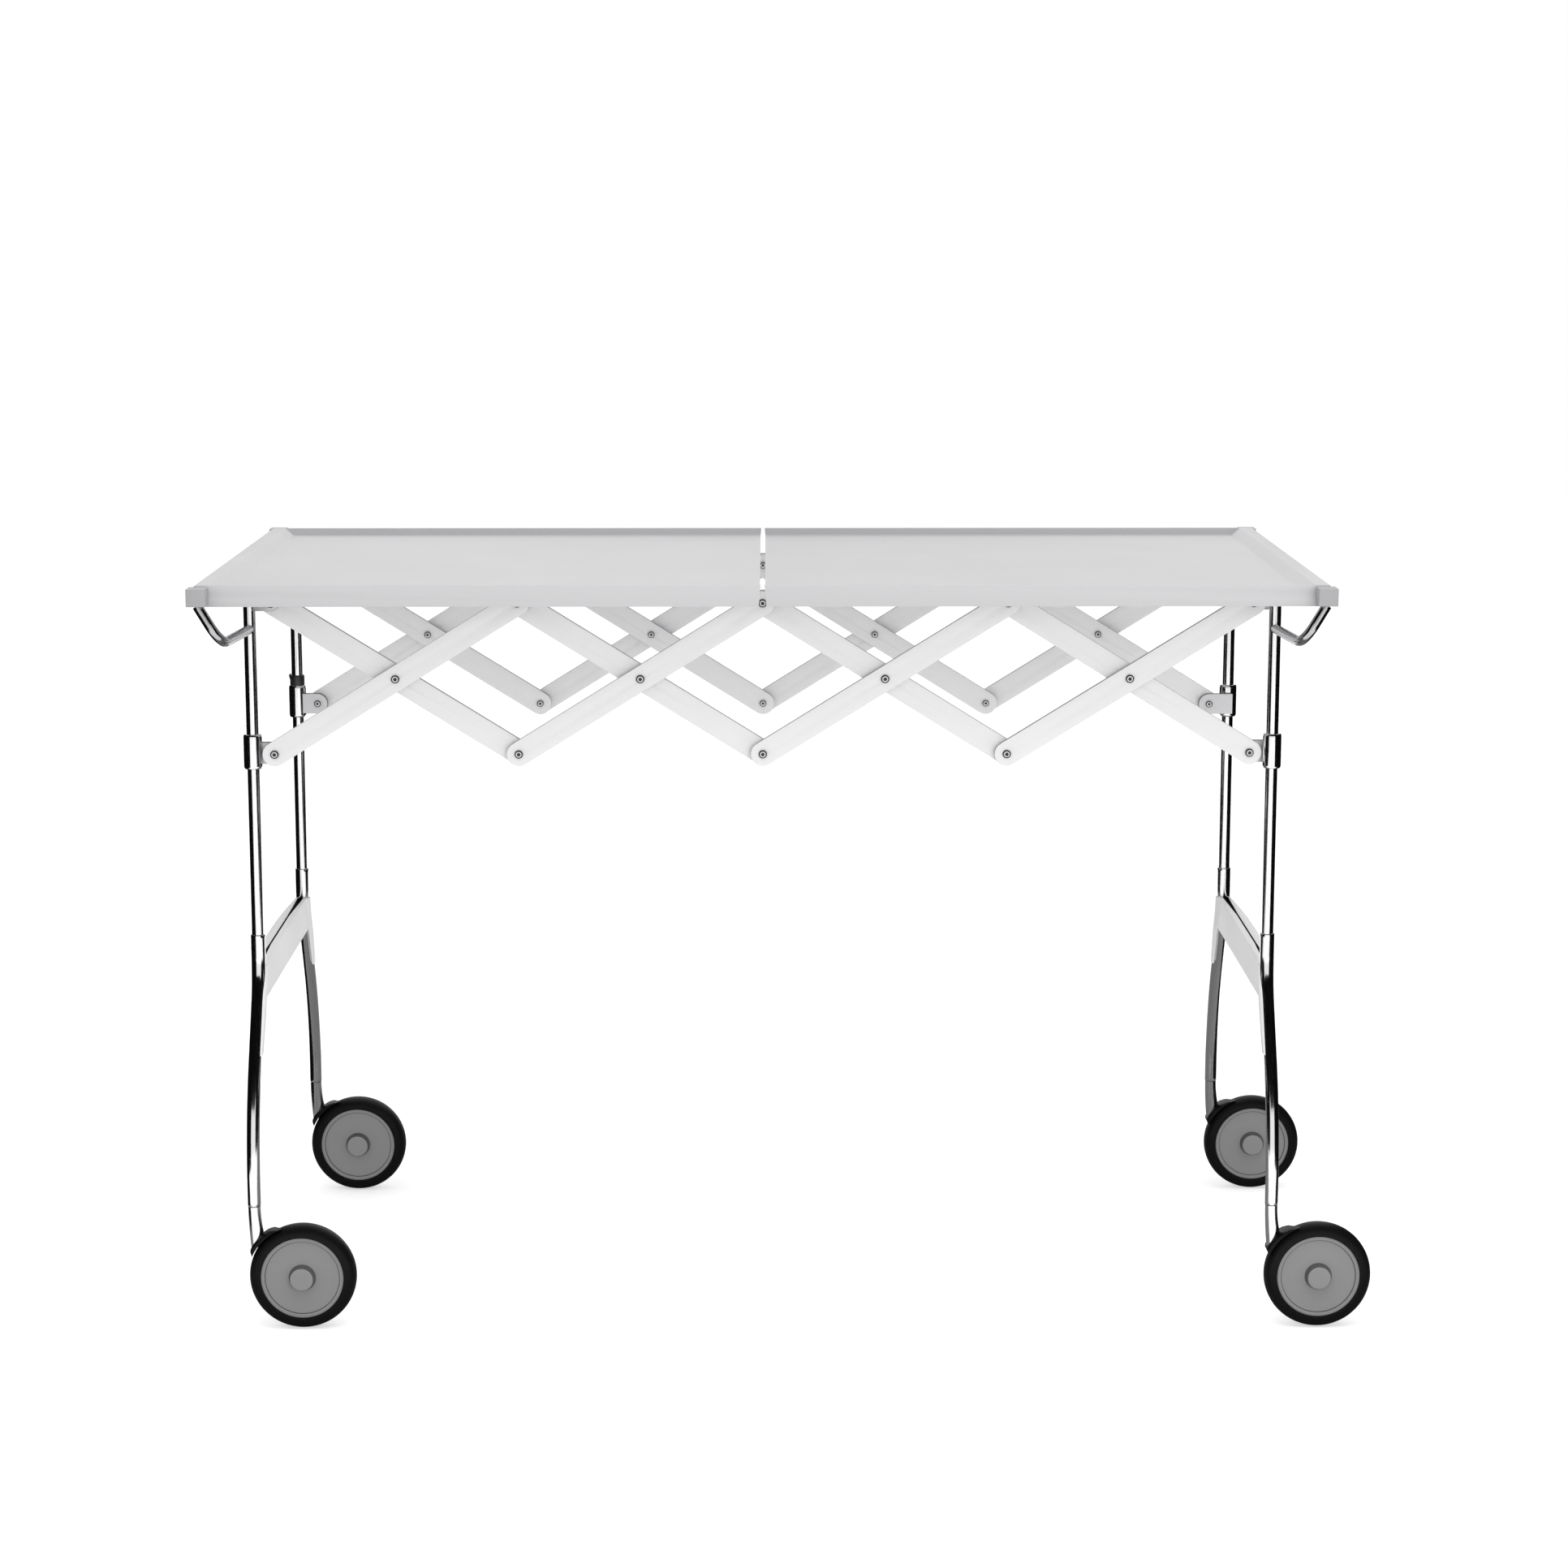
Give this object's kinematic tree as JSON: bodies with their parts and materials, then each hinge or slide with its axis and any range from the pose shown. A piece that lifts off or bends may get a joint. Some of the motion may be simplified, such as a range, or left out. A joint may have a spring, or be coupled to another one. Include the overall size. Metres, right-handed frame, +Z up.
{
  "type": "folding room service table",
  "caption": "Folding table on four castors: two hinged trays over scissor lattices that draw two pairs of bent chromed legs together.",
  "frame": {"origin": "on the floor, in the middle of the box that holds the whole table with its castors trailing to the right", "axes": "+X along the table to the right, +Y to the back, +Z up"},
  "size_m": [1.0636, 0.54, 0.69],
  "materials": {
    "slat": "flat aluminium bar, satin pale grey powder coat",
    "screw": "dark steel socket screws",
    "chrome_tube": "polished chromed steel tube",
    "chrome_sleeve": "polished chromed sleeve",
    "lug": "pale grey moulded plastic",
    "chrome_bracket": "polished chromed steel plate",
    "black_plastic": "black plastic with a faint sheen",
    "chrome_leg": "polished chromed steel, bent",
    "crossbar": "pale grey moulded plastic, satin",
    "chrome_arm": "polished chromed steel rod, bent",
    "end_block": "mid grey moulded plastic",
    "tray": "light grey moulded plastic, fine matt texture",
    "chrome_stem": "polished chromed casting",
    "hood": "black glass filled plastic",
    "tyre": "black rubber",
    "hub": "mid grey moulded plastic, satin"
  },
  "bodies": {
    "left_end": {"uprights_left": "chrome_tube", "brackets_left": "chrome_bracket", "screws_top_left": "screw", "lower_leg_lf": "chrome_leg", "lower_leg_lb": "chrome_leg", "crossbar_left": "crossbar", "tray_arms_left": "chrome_arm", "hinge_bar_left": "end_block"},
    "right_end": {"uprights_right": "chrome_tube", "brackets_right": "chrome_bracket", "lower_leg_rf": "chrome_leg", "lower_leg_rb": "chrome_leg", "crossbar_right": "crossbar", "tray_arms_right": "chrome_arm", "hinge_bar_right": "end_block"},
    "slat_a1": {"slat_a1_front": "slat", "slat_a1_back": "slat"},
    "slat_b1": {"slat_b1_front": "slat", "slat_b1_back": "slat", "screws_b1": "screw"},
    "slat_a2": {"slat_a2_front": "slat", "slat_a2_back": "slat"},
    "slat_b2": {"slat_b2_front": "slat", "slat_b2_back": "slat", "screws_b2": "screw"},
    "slat_a3": {"slat_a3_front": "slat", "slat_a3_back": "slat"},
    "slat_b3": {"slat_b3_front": "slat", "slat_b3_back": "slat", "screws_b3": "screw"},
    "slat_a4": {"slat_a4_front": "slat", "slat_a4_back": "slat"},
    "slat_b4": {"slat_b4_front": "slat", "slat_b4_back": "slat", "screws_b4": "screw"},
    "sleeve_pair_left": {"sleeves_left": "chrome_sleeve", "lugs_left": "lug"},
    "sleeve_pair_right": {"sleeves_right": "chrome_sleeve", "lugs_right": "lug", "screws_foot_right": "screw"},
    "lock": {"lock_collar": "black_plastic"},
    "left_tray": {"tray_left": "tray"},
    "right_tray": {"tray_right": "tray"},
    "castor_lf": {"castor_stem_lf": "chrome_stem", "castor_hood_lf": "hood"},
    "wheel_lf": {"tyre_lf": "tyre", "hub_lf": "hub"},
    "castor_lb": {"castor_stem_lb": "chrome_stem", "castor_hood_lb": "hood"},
    "wheel_lb": {"tyre_lb": "tyre", "hub_lb": "hub"},
    "castor_rf": {"castor_stem_rf": "chrome_stem", "castor_hood_rf": "hood"},
    "wheel_rf": {"tyre_rf": "tyre", "hub_rf": "hub"},
    "castor_rb": {"castor_stem_rb": "chrome_stem", "castor_hood_rb": "hood"},
    "wheel_rb": {"tyre_rb": "tyre", "hub_rb": "hub"}
  },
  "joints": [
    {"name": "fold", "type": "hinge", "parent": "left_end", "child": "slat_a1", "pos_m": [-0.47315, 0, 0.663], "axis": [0, 1, 0], "range_deg": [0, 45]},
    {"name": "foot_1", "type": "hinge", "parent": "slat_a1", "child": "slat_b2", "pos_m": [-0.25015, 0, 0.52419], "axis": [0, 1, 0], "range_deg": [-90, 0]},
    {"name": "top_2", "type": "hinge", "parent": "slat_b2", "child": "slat_a3", "pos_m": [-0.02715, 0, 0.663], "axis": [0, 1, 0], "range_deg": [0, 90]},
    {"name": "foot_3", "type": "hinge", "parent": "slat_a3", "child": "slat_b4", "pos_m": [0.19585, 0, 0.52419], "axis": [0, 1, 0], "range_deg": [-90, 0]},
    {"name": "top_4", "type": "hinge", "parent": "slat_b4", "child": "right_end", "pos_m": [0.41885, 0, 0.663], "axis": [0, 1, 0], "range_deg": [0, 45]},
    {"name": "cross_1", "type": "hinge", "parent": "slat_a1", "child": "slat_b1", "pos_m": [-0.36165, 0, 0.5936], "axis": [0, 1, 0], "range_deg": [-90, 0]},
    {"name": "cross_2", "type": "hinge", "parent": "slat_b2", "child": "slat_a2", "pos_m": [-0.13865, 0, 0.5936], "axis": [0, 1, 0], "range_deg": [0, 90]},
    {"name": "cross_3", "type": "hinge", "parent": "slat_a3", "child": "slat_b3", "pos_m": [0.08435, 0, 0.5936], "axis": [0, 1, 0], "range_deg": [-90, 0]},
    {"name": "cross_4", "type": "hinge", "parent": "slat_b4", "child": "slat_a4", "pos_m": [0.30735, 0, 0.5936], "axis": [0, 1, 0], "range_deg": [0, 90]},
    {"name": "foot_left", "type": "hinge", "parent": "slat_b1", "child": "sleeve_pair_left", "pos_m": [-0.47315, 0, 0.52419], "axis": [0, 1, 0], "range_deg": [0, 45]},
    {"name": "foot_right", "type": "hinge", "parent": "slat_a4", "child": "sleeve_pair_right", "pos_m": [0.41885, 0, 0.52419], "axis": [0, 1, 0], "range_deg": [-45, 0]},
    {"name": "tray_left_swing", "type": "hinge", "parent": "left_end", "child": "left_tray", "pos_m": [-0.52335, 0, 0.681], "axis": [0, -1, 0], "range_deg": [0, 270]},
    {"name": "tray_right_swing", "type": "hinge", "parent": "right_end", "child": "right_tray", "pos_m": [0.46905, 0, 0.681], "axis": [0, 1, 0], "range_deg": [0, 270]},
    {"name": "lock_twist", "type": "hinge", "parent": "sleeve_pair_left", "child": "lock", "pos_m": [-0.49365, 0.154, 0.54519], "axis": [0, 0, 1], "range_deg": [0, 90]},
    {"name": "swivel_lf", "type": "hinge", "parent": "left_end", "child": "castor_lf", "pos_m": [-0.49365, -0.221, 0.1], "axis": [0, 0, 1], "continuous": true},
    {"name": "spin_lf", "type": "hinge", "parent": "castor_lf", "child": "wheel_lf", "pos_m": [-0.45015, -0.221, 0.049], "axis": [0, 1, 0], "continuous": true},
    {"name": "swivel_lb", "type": "hinge", "parent": "left_end", "child": "castor_lb", "pos_m": [-0.49365, 0.221, 0.1], "axis": [0, 0, 1], "continuous": true},
    {"name": "spin_lb", "type": "hinge", "parent": "castor_lb", "child": "wheel_lb", "pos_m": [-0.45015, 0.221, 0.049], "axis": [0, 1, 0], "continuous": true},
    {"name": "swivel_rf", "type": "hinge", "parent": "right_end", "child": "castor_rf", "pos_m": [0.43935, -0.221, 0.1], "axis": [0, 0, 1], "continuous": true},
    {"name": "spin_rf", "type": "hinge", "parent": "castor_rf", "child": "wheel_rf", "pos_m": [0.48285, -0.221, 0.049], "axis": [0, 1, 0], "continuous": true},
    {"name": "swivel_rb", "type": "hinge", "parent": "right_end", "child": "castor_rb", "pos_m": [0.43935, 0.221, 0.1], "axis": [0, 0, 1], "continuous": true},
    {"name": "spin_rb", "type": "hinge", "parent": "castor_rb", "child": "wheel_rb", "pos_m": [0.48285, 0.221, 0.049], "axis": [0, 1, 0], "continuous": true}
  ],
  "couplings": [
    {"joint": "foot_1", "follows": "fold", "ratio": -2},
    {"joint": "top_2", "follows": "fold", "ratio": 2},
    {"joint": "foot_3", "follows": "fold", "ratio": -2},
    {"joint": "top_4", "follows": "fold", "ratio": 1},
    {"joint": "cross_1", "follows": "fold", "ratio": -2},
    {"joint": "cross_2", "follows": "fold", "ratio": 2},
    {"joint": "cross_3", "follows": "fold", "ratio": -2},
    {"joint": "cross_4", "follows": "fold", "ratio": 2},
    {"joint": "foot_left", "follows": "fold", "ratio": 1},
    {"joint": "foot_right", "follows": "fold", "ratio": -1},
    {"joint": "tray_left_swing", "follows": "fold", "ratio": 6},
    {"joint": "tray_right_swing", "follows": "fold", "ratio": 6}
  ]
}
